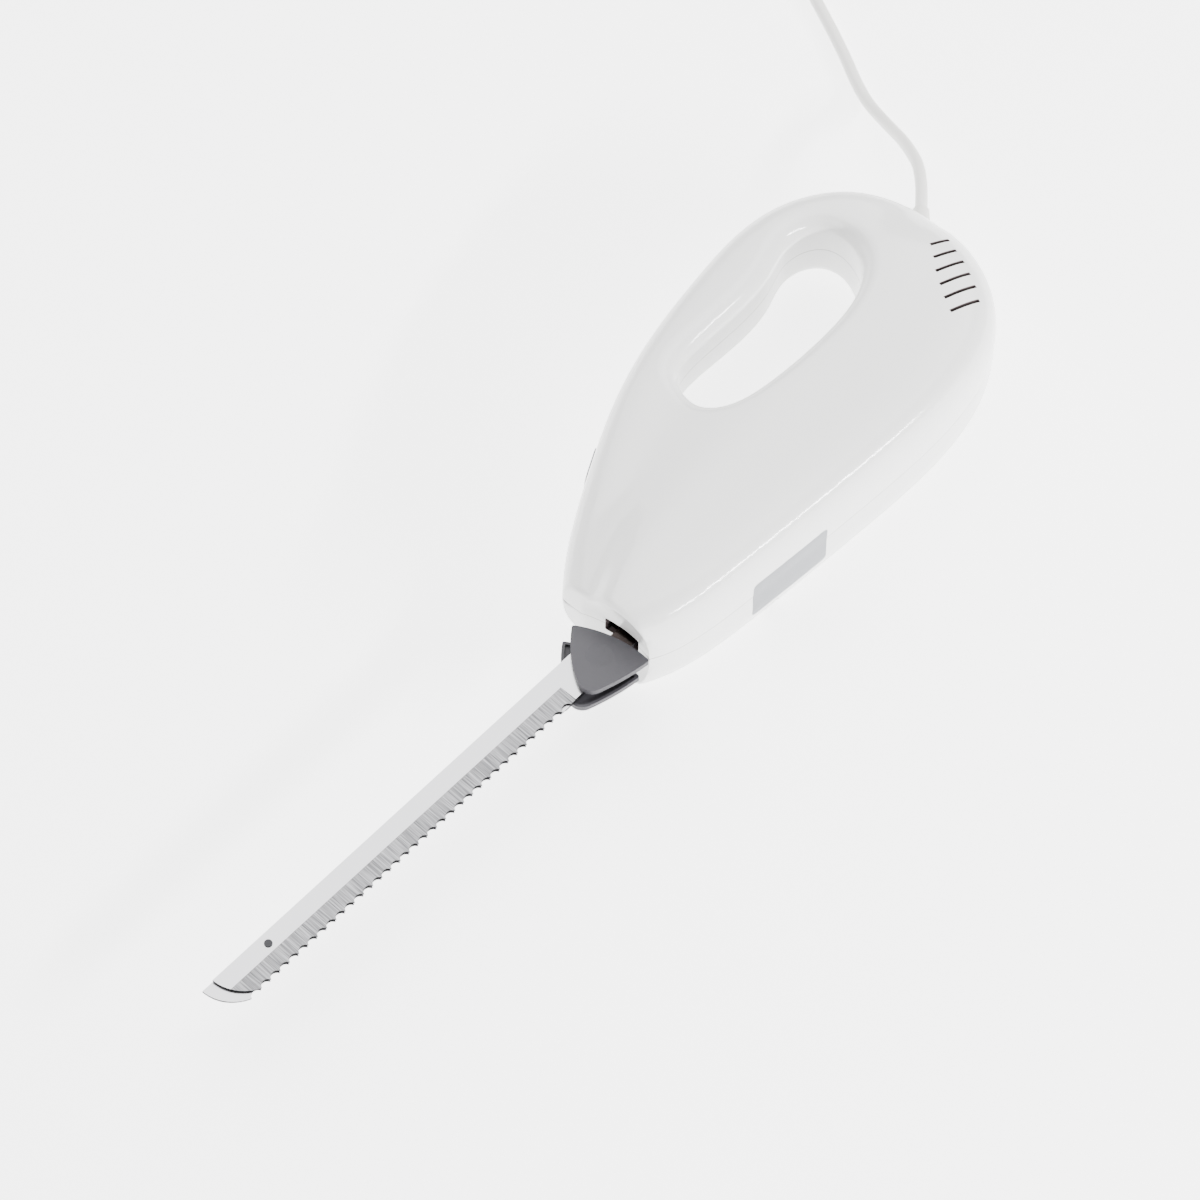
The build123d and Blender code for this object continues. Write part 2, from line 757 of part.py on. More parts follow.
def worm():
    """Steel worm pressed on the shaft, one thread with the wheel's pitch."""
    pitch = math.pi * gear_module
    turns = worm_turns
    length = turns * pitch
    flank = math.tan(math.radians(pressure_angle))
    root = worm_pitch_radius - gear_module - running_gap
    middle_half = pitch / 4 - tooth_play / 2
    inner_half = middle_half + (gear_module + running_gap + fit_gap) * flank
    outer_half = middle_half - gear_module * flank
    helix = Helix(pitch, length, worm_pitch_radius)
    start = Plane(origin=helix @ 0, x_dir=(1, 0, 0), z_dir=helix % 0)
    points = [
        (-gear_module - running_gap - fit_gap, -inner_half),
        (gear_module, -outer_half),
        (gear_module, outer_half),
        (-gear_module - running_gap - fit_gap, inner_half),
    ]
    tooth = make_face(Polyline(*points, close=True))
    thread = sweep(start * tooth, path=helix, is_frenet=True)
    core = Pos(0, 0, length / 2) * Cylinder(root, length + 2 * pitch)
    body = core + thread
    body -= Cylinder(shaft_radius + bore_gap, overrun * 2)
    # The thread's middle faces the wheel's lowest gap
    spin = 90.0 - 180.0 * turns
    laid = Rot(0, 90, 0) * Rot(0, 0, spin) * Pos(0, 0, -length / 2) * body
    return Pos(wheel_x, motor_y, 0) * laid


def motor():
    """Open-frame motor along the body, with its fan and the worm on its shaft."""
    y0, y1 = motor_y - core_height / 2, motor_y + core_height / 2
    half_w = core_width / 2
    bore = bar(0, 2 * body_length, motor_y, 0, rotor_radius + air_gap)
    core = block((core_front, core_back), (y0, y1), (-half_w, half_w))
    window = block(
        (0, body_length),
        (y0 + core_frame, y1 - core_frame),
        (-half_w + core_frame, half_w - core_frame),
    )
    poles = block((core_front, core_back), (y0, y1), (-pole_half_width, pole_half_width)) - bore
    frame = core - window
    bolt_spots = []
    for side in (-1, 1):
        spot_y = motor_y + side * (core_height - core_frame) / 2
        spot_z = side * (core_width - core_frame) / 2
        bolt_spots.append((spot_y, spot_z))
    bolt_holes = [bar(0, 2 * body_length, y, z, bolt_radius + hole_clearance) for y, z in bolt_spots]
    pieces["motor_core"] = frame + poles - bolt_holes

    # Field windings, one round each pole
    coils = []
    keep_out = block(
        (core_front - fit_gap, core_back + fit_gap),
        (-overrun, overrun),
        (-pole_half_width - fit_gap, pole_half_width + fit_gap),
    )
    bore_wide = bar(0, 2 * body_length, motor_y, 0, rotor_radius + 2 * air_gap)
    for side in (-1, 1):
        inner_y = motor_y + side * rotor_radius
        outer_y = motor_y + side * (core_height / 2 - core_frame - running_gap)
        coil = block(
            (core_front - winding_overhang, core_back + winding_overhang),
            tuple(sorted((inner_y, outer_y))),
            (-half_w + core_frame + running_gap, half_w - core_frame - running_gap),
        )
        coils.append(coil - keep_out - bore_wide)
    pieces["field_windings"] = Compound(coils)

    # Rotor with slots, winding heads, commutator with bars, shaft and fan
    rotor = bar(core_front, core_back, motor_y, 0, rotor_radius)
    slots = []
    for index in range(rotor_slots):
        turn = Rot(360.0 * index / rotor_slots, 0, 0)
        slot = Box(2 * core_length, slot_width, 2 * slot_depth)
        slots.append(Pos(0, motor_y, 0) * turn * Pos(core_front, 0, rotor_radius) * slot)
    shaft_hole = bar(0, 2 * body_length, motor_y, 0, shaft_radius + bore_gap)
    pieces["rotor_core"] = rotor - slots - shaft_hole
    heads = [
        bar(core_front - winding_overhang, core_front, motor_y, 0, winding_radius) - shaft_hole,
        bar(core_back, core_back + winding_overhang, motor_y, 0, winding_radius) - shaft_hole,
    ]
    pieces["rotor_winding"] = Compound(heads)
    ring = bar(commutator_x - commutator_length / 2, commutator_back, motor_y, 0, commutator_radius)
    grooves = []
    for index in range(commutator_bars):
        turn = Rot(360.0 * index / commutator_bars, 0, 0)
        groove = Box(2 * commutator_length, groove_width, 2 * groove_width)
        grooves.append(Pos(0, motor_y, 0) * turn * Pos(commutator_x, 0, commutator_radius) * groove)
    pieces["commutator"] = ring - grooves - shaft_hole
    pieces["motor_shaft"] = bar(shaft_front, shaft_back, motor_y, 0, shaft_radius)
    plate = bar(fan_x, fan_x + fan_plate, motor_y, 0, fan_radius)
    hub = bar(fan_x, fan_x + fan_depth, motor_y, 0, hub_radius)
    vanes = []
    for index in range(fan_blades):
        turn = Rot(360.0 * index / fan_blades, 0, 0)
        vane = Pos(fan_x + fan_depth / 2, 0, (fan_radius + hub_radius - fan_plate) / 2)
        vane = vane * Box(fan_depth, fan_plate, fan_radius - hub_radius)
        vanes.append(Pos(0, motor_y, 0) * turn * vane)
    pieces["fan"] = plate + hub + vanes - shaft_hole
    pieces["worm"] = worm()

    # Bearing brackets with legs to the core, bushes and bolts
    for name, x0, legs in (
        ("front_bracket", bracket_front, (bracket_front + bracket_thickness, core_front)),
        ("rear_bracket", bracket_back, (core_back, bracket_back)),
    ):
        plate = block((x0, x0 + bracket_thickness), (y0, y1), (-half_w, half_w))
        hub = bar(x0, x0 + bush_length, motor_y, 0, bush_radius + holder_wall)
        bracket = plate + hub
        for side in (-1, 1):
            edge = motor_y + side * core_height / 2
            leg_span = tuple(sorted((edge, edge - side * leg_thickness)))
            bracket += block(legs, leg_span, (-leg_half_width, leg_half_width))
            z = side * (half_w + bush_radius) / 2
            bracket -= Pos(x0, motor_y, z) * Box(4 * bracket_thickness, core_height / 2, half_w / 3)
        bracket -= bar(0, 2 * body_length, motor_y, 0, bush_radius + bore_gap)
        pieces[name] = bracket - bolt_holes
    for name, x0 in (
        ("shaft_bush", shaft_front - bush_length / 2),
        ("front_bush", bracket_front),
        ("rear_bush", bracket_back),
    ):
        bush = bar(x0, x0 + bush_length, motor_y, 0, bush_radius)
        pieces[name] = bush - bar(0, 2 * body_length, motor_y, 0, shaft_radius + fit_gap)
    bolts = []
    bolt_end = bracket_back + bracket_thickness
    for y, z in bolt_spots:
        bolt = bar(bracket_front, bolt_end, y, z, bolt_radius)
        for x0, x1 in ((bracket_front - bolt_head, bracket_front), (bolt_end, bolt_end + bolt_head)):
            bolt += bar(x0, x1, y, z, bolt_head_radius)
        bolts.append(bolt)
    pieces["motor_bolts"] = Compound(bolts)

    # Brush holders reach forward from the rear bracket over the commutator
    holders = []
    brushes = []
    brush_half = brush_side / 2
    outside = brush_half + holder_wall
    for side in (-1, 1):
        start = commutator_radius + fit_gap
        end = start + brush_length
        brush_span = tuple(sorted((side * start, side * end)))
        holder_span = tuple(sorted((side * (start + holder_wall), side * (end + holder_wall))))
        brush_x = (commutator_x - brush_half, commutator_x + brush_half)
        brush_y = (motor_y - brush_half, motor_y + brush_half)
        brushes.append(block(brush_x, brush_y, brush_span))
        holder = block(
            (commutator_x - outside, bracket_back),
            (motor_y - outside, motor_y + outside),
            holder_span,
        )
        tunnel = block(
            (brush_x[0] - fit_gap, brush_x[1] + fit_gap),
            (brush_y[0] - fit_gap, brush_y[1] + fit_gap),
            tuple(sorted((0, side * (end + fit_gap)))),
        )
        holders.append(holder - tunnel)
    pieces["brush_holders"] = Compound(holders)
    pieces["carbon_brushes"] = Compound(brushes)


def tube(points, radius):
    """A round lead along straight runs joined by arcs as large as the runs allow."""
    spots = [Vector(p) for p in points]
    radii = []
    for a, b, c in zip(spots, spots[1:], spots[2:]):
        turn = math.radians((b - a).get_angle(c - b))
        radii.append(run_share * min((b - a).length, (c - b).length) / math.tan(turn / 2))
    path = FilletPolyline(*spots, radius=radii)
    start = Plane(origin=spots[0], z_dir=spots[1] - spots[0])
    solid = sweep(start * Circle(radius), path=path)
    return solid, path, radii


def inner_leads():
    """Leads through the handle to the switch, and on to the field windings."""
    feed = []
    onward = []
    tail_end = exit_point - exit_along * (sleeve_length - sleeve_out + tail_length)
    for side in (-1, 1):
        z = side * lead_spacing
        route = [tail_end + Vector(0, 0, z), tail_end - exit_along * wire_first_run + Vector(0, 0, z)]
        route += [(x * body_length, y * body_high, z) for x, y in feed_shares]
        feed.append(tube(route, wire_radius)[0])
        route = [(x * body_length, y * body_high, side * w * body_half_width) for x, y, w in onward_shares]
        onward.append(tube(route, wire_radius)[0])
    pieces["supply_leads"] = Compound(feed)
    pieces["motor_leads"] = Compound(onward)


def cord_entry():
    """Flexible sleeve, cord tail and clamp at the rear of the handle."""
    inside = sleeve_length - sleeve_out
    body = Rot(0, 90, 0) * Pos(0, 0, -inside / 2) * Cylinder(sleeve_radius, inside)
    flange = Rot(0, 90, 0) * Pos(0, 0, -inside / 2) * Cylinder(sleeve_radius + sleeve_flange, sleeve_flange)
    nose = Rot(0, 90, 0) * Pos(0, 0, sleeve_out / 2) * Cone(sleeve_radius, sleeve_end_radius, sleeve_out)
    pieces["cord_sleeve"] = exit_plane * (body + flange + nose)
    tail = Rot(0, 90, 0) * Pos(0, 0, -inside - tail_length / 2) * Cylinder(cord_radius, tail_length)
    pieces["cord_tail"] = exit_plane * tail
    middle = -inside - tail_length / 2
    plate = Box(clamp_length, clamp_width, clamp_thickness)
    plate = Pos(middle, 0, cord_radius + clamp_thickness / 2) * plate
    screws = []
    for side in (-1, 1):
        spot = Pos(middle, side * clamp_width / 3, 0)
        plate -= spot * Cylinder(screw_radius + hole_clearance, overrun)
        top = cord_radius + clamp_thickness
        shank = spot * Pos(0, 0, top - screw_length / 4) * Cylinder(screw_radius, screw_length / 2)
        head = spot * Pos(0, 0, top + screw_head / 2) * Cylinder(screw_head_radius, screw_head)
        screws.append(exit_plane * (shank + head))
    pieces["cord_clamp"] = exit_plane * plate
    pieces["clamp_screws"] = Compound(screws)


def biarc(start, start_dir, end, end_dir):
    """Two tangent arcs between two places with given directions."""
    across = end - start
    both = start_dir + end_dir
    square = both.dot(both) - 4
    middle = across.dot(both)
    reach = across.dot(across) / (middle + math.sqrt(middle**2 - square * across.dot(across)))
    joint = (start + start_dir * reach + end - end_dir * reach) * 0.5
    onward = ((end - end_dir * reach) - (start + start_dir * reach)).normalized()
    first = Edge.make_tangent_arc(start, start_dir, joint)
    second = Edge.make_tangent_arc(joint, onward, end)
    return [first, second]


def coil_spot(turned, base):
    """Place and direction on the coil after an angle wound, in from outside and out again."""
    reversal = 2 * math.pi * coil_turns
    gap = turned - reversal
    rate = coil_pitch / (2 * math.pi)
    radius = coil_inner + rate * abs(gap)
    angle = math.radians(coil_start_angle) - turned
    climb = min(max(gap / math.pi + 0.5, 0.0), 1.0)
    steep = 0.0 if climb in (0.0, 1.0) else coil_pitch / math.pi
    drift = 0.0 if abs(gap) < fit_gap else math.copysign(rate, gap)
    out = Vector(math.cos(angle), math.sin(angle), 0)
    forward = Vector(math.sin(angle), -math.cos(angle), 0)
    place = Vector(coil_x, coil_y, base + climb * coil_pitch) + out * radius
    direction = (forward * radius + out * drift + Vector(0, 0, steep)).normalized()
    return place, direction


def mains_cord(floor):
    """Free lead, tied coil and plug, lying on the surface beside the knife."""
    rest = floor + cord_radius + cord_lift
    base = rest + tie_thickness + running_gap
    place, direction = coil_spot(0.0, base)
    entry = place - direction * 2 * cord_radius
    route = []
    for x, y, up in lead_route:
        route.append((x, y, rest if up is None else up))
    mouth = exit_point + exit_along * sleeve_out
    onward = mouth + exit_along * lead_first_run
    before = entry - direction * lead_last_run
    free, path, radii = tube([mouth, onward] + route + [before, entry], cord_radius)
    pieces["cord_lead"] = free
    section_area = math.pi * cord_radius**2
    print("lead length", round(path.length, 1), "radii", [round(r, 1) for r in radii])
    print("lead volume share", round(free.volume / (section_area * path.length), 4))

    edges = [Edge.make_line(entry, place)]
    quarter = math.pi / 2
    count = round(4 * math.pi * coil_turns / quarter)
    for step in range(count):
        a, a_dir = coil_spot(step * quarter, base)
        b, b_dir = coil_spot((step + 1) * quarter, base)
        edges += biarc(a, a_dir, b, b_dir)
    end, end_dir = coil_spot(count * quarter, base)
    flat = Vector(end_dir.X, end_dir.Y, 0).normalized()
    landing = end + flat * coil_tail
    landing = Vector(landing.X, landing.Y, floor + plug_thickness / 2 + cord_lift)
    edges += biarc(end, flat, landing, flat)
    tail = landing + flat * 2 * cord_radius
    edges.append(Edge.make_line(landing, tail))
    wire = Wire(edges)
    start = Plane(origin=entry, z_dir=direction)
    coil = sweep(start * Circle(cord_radius), path=wire)
    pieces["cord_coil"] = coil
    spots = []
    for index in range(12 * count + 1):
        spots.append(wire @ (index / (12 * count)))
    step_length = wire.length / (12 * count)
    least = min(
        (p - q).length
        for i, p in enumerate(spots)
        for q in spots[i + math.ceil(8 * cord_radius / step_length):]
    )
    print("coil length", round(wire.length, 1), "least gap", round(least - 2 * cord_radius, 2))
    print("cord length", round(wire.length + path.length + sleeve_length + tail_length, 1))

    # Strap tie round the bundle
    outermost = coil_inner + coil_turns * coil_pitch
    middle = (coil_inner + outermost) / 2
    across = outermost - coil_inner + 2 * cord_radius + 2 * running_gap
    height = coil_pitch + 2 * cord_radius + 2 * running_gap
    strap = Box(across + 2 * tie_thickness, tie_width, height + 2 * tie_thickness)
    strap -= Box(across, 2 * tie_width, height)
    turn = Rot(0, 0, coil_start_angle - 90)
    pieces["cord_tie"] = Pos(coil_x, coil_y, base + coil_pitch / 2) * turn * Pos(middle, 0, 0) * strap

    # Flat two-pin plug
    plug_plane = Plane(origin=tail, x_dir=Vector(0, 0, 1).cross(flat), z_dir=flat)
    rings = [
        plug_plane * Circle(plug_neck_radius),
        plug_plane * Pos(0, 0, plug_neck) * Ellipse(plug_shoulder_half, plug_thickness / 2 - holder_wall),
        plug_plane * Pos(0, 0, plug_length - plug_face) * Ellipse(plug_width / 2, plug_thickness / 2),
    ]
    body = loft([ring.face() for ring in rings])
    body += extrude(rings[-1], amount=plug_face)
    pieces["mains_plug"] = body
    pins = []
    for side in (-1, 1):
        pin = Pos(0, 0, pin_length / 2) * Cylinder(pin_radius, pin_length)
        pin = chamfer(pin.edges().sort_by(Axis.Z)[-1], pin_radius / 4)
        pins.append(plug_plane * Pos(side * pin_spacing / 2, 0, plug_length) * pin)
        base_spot = plug_plane.from_local_coords((side * pin_spacing / 2, 0, plug_length))
        print("pin base", base_spot, "axis", flat)
    pieces["plug_pins"] = Compound(pins)


housing_body = housing()
floor_level = housing_body.bounding_box().min.Z
housing_screws()
buttons(housing_body)
carrier_guide()
blade_set()
worm_wheel()
motor()
inner_leads()
cord_entry()
mains_cord(floor_level)

# Stand the knife on its side with the middle of its lowest plane at the origin
cord_names = ("cord_lead", "cord_coil", "cord_tie", "mains_plug", "plug_pins")
box = Compound([Compound([p]) for n, p in pieces.items() if n not in cord_names]).bounding_box()
shift = Vector(-(box.min.X + box.max.X) / 2, -(box.min.Y + box.max.Y) / 2, -box.min.Z)
print("shift", shift)
os.makedirs("parts", exist_ok=True)
for name, piece in pieces.items():
    placed = Pos(shift) * piece
    export_step(placed, f"parts/{name}.step")
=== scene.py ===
import math
import bpy
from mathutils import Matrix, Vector


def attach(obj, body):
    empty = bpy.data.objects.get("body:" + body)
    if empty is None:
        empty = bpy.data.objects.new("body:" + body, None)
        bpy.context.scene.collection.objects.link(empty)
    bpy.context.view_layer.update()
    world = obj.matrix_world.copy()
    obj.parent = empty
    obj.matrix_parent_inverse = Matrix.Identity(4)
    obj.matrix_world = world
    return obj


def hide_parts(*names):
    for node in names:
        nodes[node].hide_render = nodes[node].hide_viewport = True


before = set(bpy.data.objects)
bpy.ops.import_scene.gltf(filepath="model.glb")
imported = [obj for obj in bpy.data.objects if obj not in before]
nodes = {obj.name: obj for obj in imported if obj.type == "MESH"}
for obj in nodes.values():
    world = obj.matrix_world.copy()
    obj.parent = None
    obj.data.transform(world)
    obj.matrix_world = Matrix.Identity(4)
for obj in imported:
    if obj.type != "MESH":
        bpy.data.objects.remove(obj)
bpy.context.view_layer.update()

bpy.ops.object.select_all(action="DESELECT")

# Blades. Two stainless steel strips that lie flat against each other, stamped to a scalloped edge
# and ground across their width. A shouldered rivet in the left tip runs in a slot of the right one.

# Places are given in millimetres from the nose's face: back, up to the handle, and to the left side.
# (place + shift) * MM is the same place in the frame.
MM = 0.001
shift = Vector((-9.89288, -30.0676, 27.4513))
# A Mix node's two colour inputs and its colour output, which share their names with others
COLOUR_A, COLOUR_B, COLOUR_OUT = 6, 7, 2


def linear(code):
    """Turn an sRGB hex colour into the linear values that a shader takes."""
    parts = [int(code[i:i + 2], 16) / 255 for i in (1, 3, 5)]
    return [p / 12.92 if p <= 0.04045 else ((p + 0.055) / 1.055) ** 2.4 for p in parts] + [1]


def add_node(tree, kind, settings=None, **links):
    """Add a shader node, set its properties and sockets, and join other nodes' outputs to it."""
    made = tree.nodes.new(kind)
    for key, value in (settings or {}).items():
        if isinstance(key, int) or key in made.inputs:
            made.inputs[key].default_value = value
        else:
            setattr(made, key, value)
    for key, source in links.items():
        tree.links.new(source, made.inputs[key.replace("_", " ")])
    return made


def new_material(name, finish):
    """Start a material with its shader set to the given finish, and the place on the object."""
    material = bpy.data.materials.new(name)
    material.use_nodes = True
    tree = material.node_tree
    shader = tree.nodes["Principled BSDF"]
    for key, value in finish.items():
        shader.inputs[key].default_value = value
    return material, tree, shader, add_node(tree, "ShaderNodeTexCoord").outputs["Object"]


def merged_copy(name, new_name, body, crease=26):
    """Copy a CAD piece with its loose triangles joined, to take finer shading in its place."""
    bpy.ops.object.select_all(action="DESELECT")
    copy = nodes[name].copy()
    copy.data = nodes[name].data.copy()
    copy.parent = None
    for key in list(copy.keys()):
        del copy[key]
    copy.name = new_name
    bpy.context.scene.collection.objects.link(copy)
    copy.select_set(True)
    bpy.context.view_layer.objects.active = copy
    bpy.ops.object.mode_set(mode="EDIT")
    bpy.ops.mesh.select_all(action="SELECT")
    bpy.ops.mesh.remove_doubles(threshold=0.001 * MM)
    bpy.ops.mesh.select_all(action="DESELECT")
    bpy.ops.object.mode_set(mode="OBJECT")
    bpy.ops.object.shade_smooth_by_angle(angle=math.radians(crease))
    even = copy.modifiers.new("even shading", "WEIGHTED_NORMAL")
    even.keep_sharp = True
    copy.data.materials.clear()
    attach(copy, body)
    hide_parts(name)
    return copy


# Ground stainless steel, the flat: a soft grey sheen with faint lines across the strip. Grinding leaves
# lines about 0.05 mm apart, drawn here at 0.3 mm so that they show. The strip darkens to a dark brown
# between 7 and 1 mm before the nose's face: painted shade where the shank lies in the mouth.
flat_steel, tree, shader, where = new_material("flat_ground_stainless_steel", {
    "Base Color": linear("#B4B4B6"), "Metallic": 1.0, "Roughness": 0.3,
})
split = add_node(tree, "ShaderNodeSeparateXYZ", Vector=where)
# Painted shade: dark brown on the shank, where it lies in the shade of the mouth
mouth_shade = add_node(tree, "ShaderNodeMapRange", {
    "From Min": (shift.x - 7) * MM, "From Max": (shift.x - 1) * MM,
}, Value=split.outputs["X"])
tone = add_node(tree, "ShaderNodeMix", {
    "data_type": "RGBA", COLOUR_A: linear("#B4B4B6"), COLOUR_B: linear("#4A4341"),
}, Factor=mouth_shade.outputs["Result"])
tree.links.new(tone.outputs[COLOUR_OUT], shader.inputs["Base Color"])
drawn = add_node(tree, "ShaderNodeMapping", {"Scale": (3300.0, 40.0, 40.0)}, Vector=where)
lines = add_node(tree, "ShaderNodeTexNoise", {
    "Scale": 1.0, "Detail": 3.0,
}, Vector=drawn.outputs["Vector"])
rough = add_node(tree, "ShaderNodeMapRange", {"To Min": 0.2, "To Max": 0.28}, Value=lines.outputs["Fac"])
tree.links.new(rough.outputs["Result"], shader.inputs["Roughness"])
bump = add_node(tree, "ShaderNodeBump", {
    "Strength": 0.1, "Distance": 0.04 * MM,
}, Height=lines.outputs["Fac"])
tree.links.new(bump.outputs["Normal"], shader.inputs["Normal"])

# The same steel on the bevel, ground by a coarser wheel, with clear lines across, drawn 0.4 mm apart so
# that they show. Its colour is darker than the flat's: painted shade for the bevel's tilted face.
shaded_bevel_steel, tree, shader, where = new_material("bevel_ground_steel_painted_shade", {
    "Base Color": linear("#7C7C7E"), "Metallic": 1.0, "Roughness": 0.4,
})
drawn = add_node(tree, "ShaderNodeMapping", {"Scale": (2400.0, 60.0, 60.0)}, Vector=where)
lines = add_node(tree, "ShaderNodeTexNoise", {
    "Scale": 1.0, "Detail": 4.0,
}, Vector=drawn.outputs["Vector"])
clear = add_node(tree, "ShaderNodeMapRange", {
    "From Min": 0.32, "From Max": 0.68,
}, Value=lines.outputs["Fac"])
tone = add_node(tree, "ShaderNodeMix", {
    "data_type": "RGBA", COLOUR_A: linear("#4E4E50"), COLOUR_B: linear("#98989A"),
}, Factor=clear.outputs["Result"])
tree.links.new(tone.outputs[COLOUR_OUT], shader.inputs["Base Color"])
bump = add_node(tree, "ShaderNodeBump", {
    "Strength": 0.3, "Distance": 0.05 * MM,
}, Height=lines.outputs["Fac"])
tree.links.new(bump.outputs["Normal"], shader.inputs["Normal"])

# The sheared edges of the strip: dull, with the press tool's streaks through its thickness, drawn 0.6 mm
# apart. Their near-black colour is painted shade, as if the edges mirrored the dim space under the knife.
shaded_sheared_steel, tree, shader, where = new_material("sheared_steel_painted_shade", {
    "Base Color": linear("#2C2B2D"), "Metallic": 1.0, "Roughness": 0.55,
})
drawn = add_node(tree, "ShaderNodeMapping", {"Scale": (1600.0, 1600.0, 200.0)}, Vector=where)
streak = add_node(tree, "ShaderNodeTexNoise", {
    "Scale": 1.0, "Detail": 2.0,
}, Vector=drawn.outputs["Vector"])
bump = add_node(tree, "ShaderNodeBump", {
    "Strength": 0.3, "Distance": 0.05 * MM,
}, Height=streak.outputs["Fac"])
tree.links.new(bump.outputs["Normal"], shader.inputs["Normal"])

# How level a face must be to belong to the flat or to the bevel; steeper ones are sheared
flat_level = 0.9995
bevel_level = 0.6
for name, body in (("left_blade", "left_slide"), ("right_blade", "right_slide")):
    strip = merged_copy(name, name + "_strip", body, crease=2.5)
    for finish in (flat_steel, shaded_bevel_steel, shaded_sheared_steel):
        strip.data.materials.append(finish)
    for face in strip.data.polygons:
        level = abs(face.normal.z)
        face.material_index = 0 if level > flat_level else 1 if level > bevel_level else 2

# Tip rivet. A small stainless rivet with a domed head, turned and polished. Its steel is given a
# near-black colour, painted shade, so that it stands out dark on the blade. It is closed by a press in
# the left tip.


def coat(finish, *names):
    """Give the named CAD pieces one finish all over."""
    for name in names:
        nodes[name].data.materials.clear()
        nodes[name].data.materials.append(finish)


# Stainless steel given a near-black colour, painted shade: a small dark mirror with uneven gloss in spots
# of 0.4 mm.
dark_shaded_steel, tree, shader, where = new_material("stainless_steel_painted_shade", {
    "Base Color": linear("#303032"), "Metallic": 1.0, "Roughness": 0.2,
})
turned = add_node(tree, "ShaderNodeTexNoise", {"Scale": 2500.0, "Detail": 2.0}, Vector=where)
rough = add_node(tree, "ShaderNodeMapRange", {
    "To Min": 0.14, "To Max": 0.26,
}, Value=turned.outputs["Fac"])
tree.links.new(rough.outputs["Result"], shader.inputs["Roughness"])
coat(dark_shaded_steel, "tip_rivet")

# Guards. Shallow shields of dark grey polypropylene, moulded onto each blade's root to keep the meat
# off the housing. The mould gives their faces a satin grain of 0.45 mm.
satin_pp, tree, shader, where = new_material("moulded_satin_polypropylene", {
    "Base Color": linear("#3F3E42"), "Roughness": 0.45, "IOR": 1.49, "Specular IOR Level": 0.25,
})
grain = add_node(tree, "ShaderNodeTexNoise", {"Scale": 2200.0, "Detail": 2.0}, Vector=where)
bump = add_node(tree, "ShaderNodeBump", {
    "Strength": 0.08, "Distance": 0.1 * MM,
}, Height=grain.outputs["Fac"])
tree.links.new(bump.outputs["Normal"], shader.inputs["Normal"])
for name, body in (("left_guard", "left_slide"), ("right_guard", "right_slide")):
    shield = merged_copy(name, name + "_shield", body, crease=9)
    shield.data.materials.append(satin_pp)

# Blade carriers and worm wheel. Moulded acetal, which slides well without oil; the blades' shanks plug
# into the carriers, whose yokes the wheel's two eccentrics drive. Milky white with slow flow marks of
# about 8 mm in their gloss.
acetal, tree, shader, where = new_material("moulded_natural_acetal", {
    "Base Color": linear("#DEDCD2"), "Roughness": 0.38, "IOR": 1.48,
})
flow = add_node(tree, "ShaderNodeTexNoise", {"Scale": 120.0, "Detail": 2.0}, Vector=where)
rough = add_node(tree, "ShaderNodeMapRange", {"To Min": 0.33, "To Max": 0.45}, Value=flow.outputs["Fac"])
tree.links.new(rough.outputs["Result"], shader.inputs["Roughness"])
coat(acetal, "left_carrier", "right_carrier", "worm_wheel")

# Carrier guide, brush holders, fan and power switch. Moulded of black glass-filled nylon, the fan
# pressed onto the shaft and the others held in the housing. Dull, with short pale fibres of about
# 0.3 mm just under the skin.
black_nylon, tree, shader, where = new_material("moulded_glass_filled_nylon", {
    "Base Color": linear("#262527"), "Roughness": 0.55, "IOR": 1.53,
})
fibre = add_node(tree, "ShaderNodeTexNoise", {"Scale": 3000.0, "Detail": 1.0}, Vector=where)
ramp = add_node(tree, "ShaderNodeValToRGB", Fac=fibre.outputs["Fac"])
ramp.color_ramp.elements[0].color = linear("#222123")
ramp.color_ramp.elements[1].color = linear("#38363A")
tree.links.new(ramp.outputs["Color"], shader.inputs["Base Color"])
coat(black_nylon, "carrier_guide", "brush_holders", "fan", "power_switch")

# Wheel axle, motor shaft and worm. Bright carbon steel, the axle and shaft ground to size and the
# worm rolled and pressed onto the front of the shaft. Grinding rings show as lines 0.5 mm apart.
bright_steel, tree, shader, where = new_material("ground_carbon_steel", {
    "Base Color": linear("#B3B1AE"), "Metallic": 1.0, "Roughness": 0.25,
})
drawn = add_node(tree, "ShaderNodeMapping", {"Scale": (2000.0, 60.0, 60.0)}, Vector=where)
rings = add_node(tree, "ShaderNodeTexNoise", {
    "Scale": 1.0, "Detail": 2.0,
}, Vector=drawn.outputs["Vector"])
rough = add_node(tree, "ShaderNodeMapRange", {"To Min": 0.2, "To Max": 0.32}, Value=rings.outputs["Fac"])
tree.links.new(rough.outputs["Result"], shader.inputs["Roughness"])
coat(bright_steel, "wheel_axle", "motor_shaft", "worm")

# Motor and rotor cores. Stacks of stamped silicon steel sheets, 0.5 mm thick, welded together:
# dark grey with a fine groove at each sheet along the shaft.
core_sheet, tree, shader, where = new_material("stacked_silicon_steel", {
    "Base Color": linear("#4C4C50"), "Metallic": 0.8, "Roughness": 0.5,
})
split = add_node(tree, "ShaderNodeSeparateXYZ", Vector=where)
layers = add_node(tree, "ShaderNodeMath", {"operation": "MULTIPLY", 1: 2000.0}, Value=split.outputs["X"])
saw = add_node(tree, "ShaderNodeMath", {"operation": "PINGPONG", 1: 0.5}, Value=layers.outputs["Value"])
bump = add_node(tree, "ShaderNodeBump", {
    "Strength": 0.5, "Distance": 0.1 * MM,
}, Height=saw.outputs["Value"])
tree.links.new(bump.outputs["Normal"], shader.inputs["Normal"])
coat(core_sheet, "motor_core", "rotor_core")

